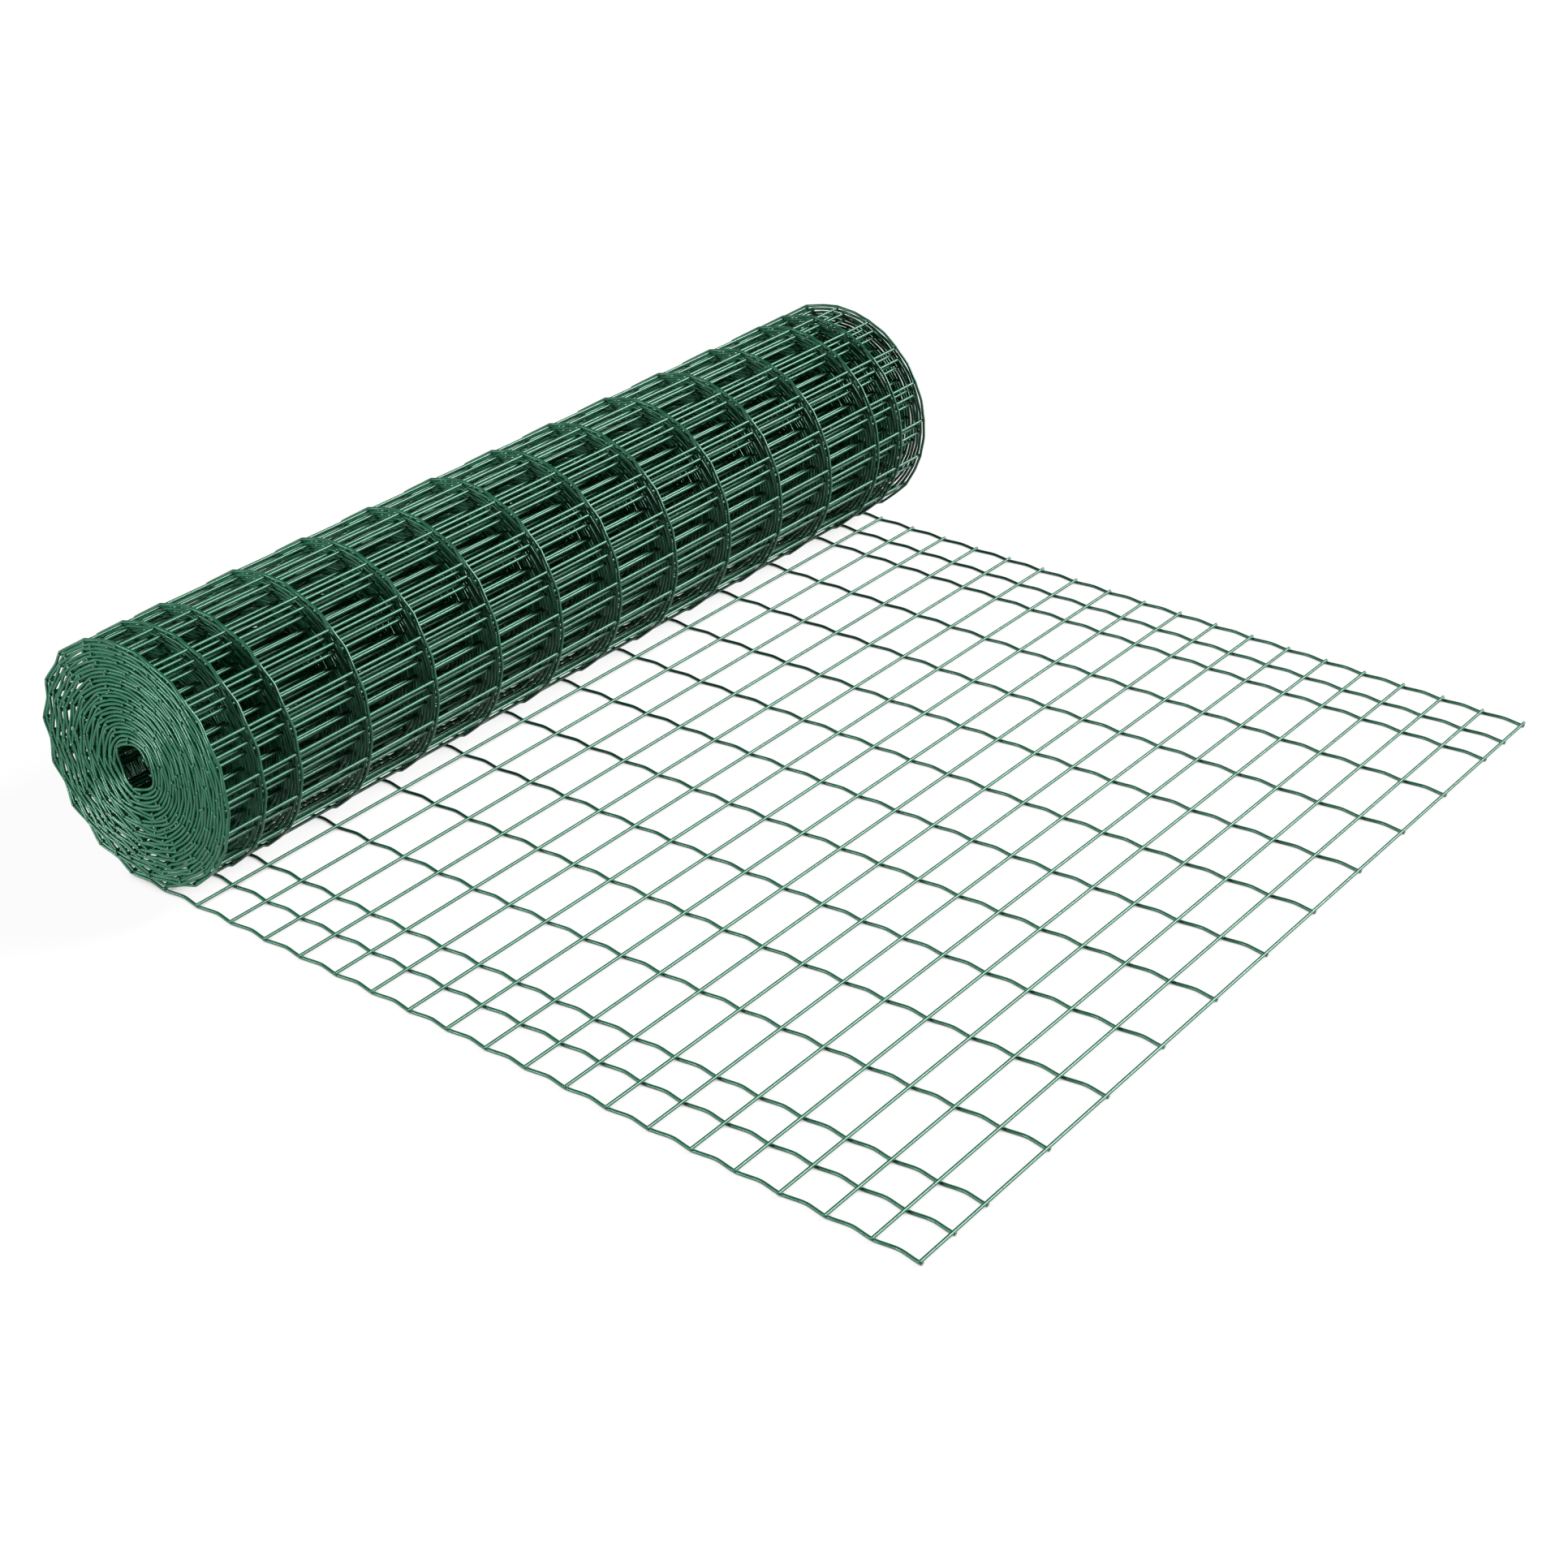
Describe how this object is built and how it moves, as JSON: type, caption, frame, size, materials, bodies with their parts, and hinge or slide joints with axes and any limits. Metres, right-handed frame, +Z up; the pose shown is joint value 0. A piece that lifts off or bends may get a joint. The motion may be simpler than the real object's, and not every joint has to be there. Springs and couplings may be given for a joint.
{
  "type": "roll of wire fencing",
  "caption": "Roll of green plastic-coated welded wire fencing lying on its side, its free end unrolled flat as a rectangular mesh with crimped line wires.",
  "frame": {"origin": "on the floor, under the middle of the whole object", "axes": "+X the way the mesh unrolls, +Y along the roll's axis, +Z up"},
  "size_m": [1.1167, 1.2084, 0.2799],
  "materials": {
    "coated_wire": "satin green plastic coat on steel wire"
  },
  "bodies": {
    "root": {"wound_roll": "coated_wire", "loose_end": "coated_wire"}
  },
  "joints": []
}
